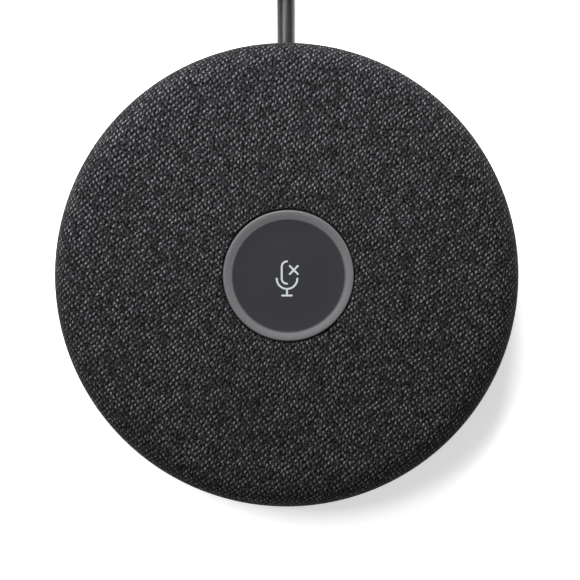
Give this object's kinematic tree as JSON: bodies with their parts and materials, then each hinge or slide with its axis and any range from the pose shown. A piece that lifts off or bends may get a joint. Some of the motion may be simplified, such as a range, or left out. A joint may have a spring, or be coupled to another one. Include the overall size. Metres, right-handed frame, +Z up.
{
  "type": "conference microphone pod",
  "caption": "Round cloth-covered table microphone pod with a lit central mute key, rubber foot ring and a captive coiled cable ending in a round push-pull plug.",
  "frame": {"origin": "middle of the pod's underside, on the table that the foot ring rests on", "axes": "+Z up out of the mute key, +Y towards the cable exit, +X to the right seen from above"},
  "size_m": [0.11, 0.1895, 0.021],
  "materials": {
    "silicone_rubber": "matt moulded silicone",
    "black_abs": "fine spark-eroded texture",
    "zinc_screw_steel": "zinc plated",
    "black_screw_steel": "black oxide",
    "ballast_steel": "cold rolled, zinc plated",
    "solder_mask_fr4": "green solder mask on glass epoxy",
    "tinned_steel": "tinned sheet",
    "chip_epoxy": "moulded epoxy",
    "capacitor_aluminium": "drawn can",
    "header_nylon": "natural nylon",
    "mic_can_brass": "gold flash",
    "polyimide_flex": "amber film",
    "led_epoxy": "white moulded lamp",
    "reflector_white": "white polycarbonate",
    "switch_plastic": "moulded",
    "plunger_pom": "moulded acetal",
    "dome_silicone": "natural silicone",
    "carrier_pom": "white acetal",
    "key_satin": "satin soft touch",
    "ring_frosted": "frosted translucent polycarbonate",
    "symbol_white": "white two-shot inlay",
    "melange_cloth": "charcoal melange weave",
    "cable_jacket": "smooth satin jacket",
    "core_insulation": "coloured cores",
    "strap_nylon": "hook and loop tape",
    "plug_black_metal": "satin black",
    "plug_nickel": "satin nickel plate",
    "release_nickel": "knurled satin nickel",
    "insert_plastic": "glass filled insulator",
    "contact_gold": "gold plate"
  },
  "bodies": {
    "pod": {"foot_ring": "silicone_rubber", "base_shell": "black_abs", "base_screws": "black_screw_steel", "ballast_plate": "ballast_steel", "ballast_screws": "zinc_screw_steel", "main_board": "solder_mask_fr4", "board_screws": "zinc_screw_steel", "shield_can": "tinned_steel", "processor_chips": "chip_epoxy", "capacitors": "capacitor_aluminium", "board_headers": "header_nylon", "mic_boards": "solder_mask_fr4", "microphones": "mic_can_brass", "mic_gaskets": "silicone_rubber", "mic_flexes": "polyimide_flex", "key_board": "solder_mask_fr4", "key_board_screws": "zinc_screw_steel", "key_flex": "polyimide_flex", "ring_leds": "led_epoxy", "light_baffle": "reflector_white", "key_well": "black_abs", "switch_body": "switch_plastic", "key_dome": "dome_silicone", "top_shell": "black_abs", "fabric_cover": "melange_cloth", "hem_ring": "black_abs", "cable_gland": "silicone_rubber", "cable_clamp": "tinned_steel", "clamp_screws": "zinc_screw_steel", "inner_cable": "cable_jacket", "harness_wires": "core_insulation", "harness_plug": "header_nylon", "cable_lead": "cable_jacket", "cable_coil": "cable_jacket", "cable_tail": "cable_jacket", "cable_ties": "strap_nylon", "plug_relief": "silicone_rubber", "plug_barrel": "plug_black_metal", "plug_nose": "plug_nickel", "plug_insert": "insert_plastic", "plug_contacts": "contact_gold"},
    "mute_key": {"key_cap": "key_satin", "light_ring": "ring_frosted", "mute_icon": "symbol_white", "key_carrier": "carrier_pom", "switch_plunger": "plunger_pom"},
    "release_collar": {"release_ring": "release_nickel"}
  },
  "joints": [
    {"name": "mute_press", "type": "slide", "parent": "pod", "child": "mute_key", "axis": [0, 0, -1], "range_m": [0, 0.0005], "stiffness_N_per_m": 3000, "deforming": ["key_dome"]},
    {"name": "plug_release", "type": "slide", "parent": "pod", "child": "release_collar", "axis": [0, -1, 0], "range_m": [0, 0.0015], "stiffness_N_per_m": 600}
  ]
}
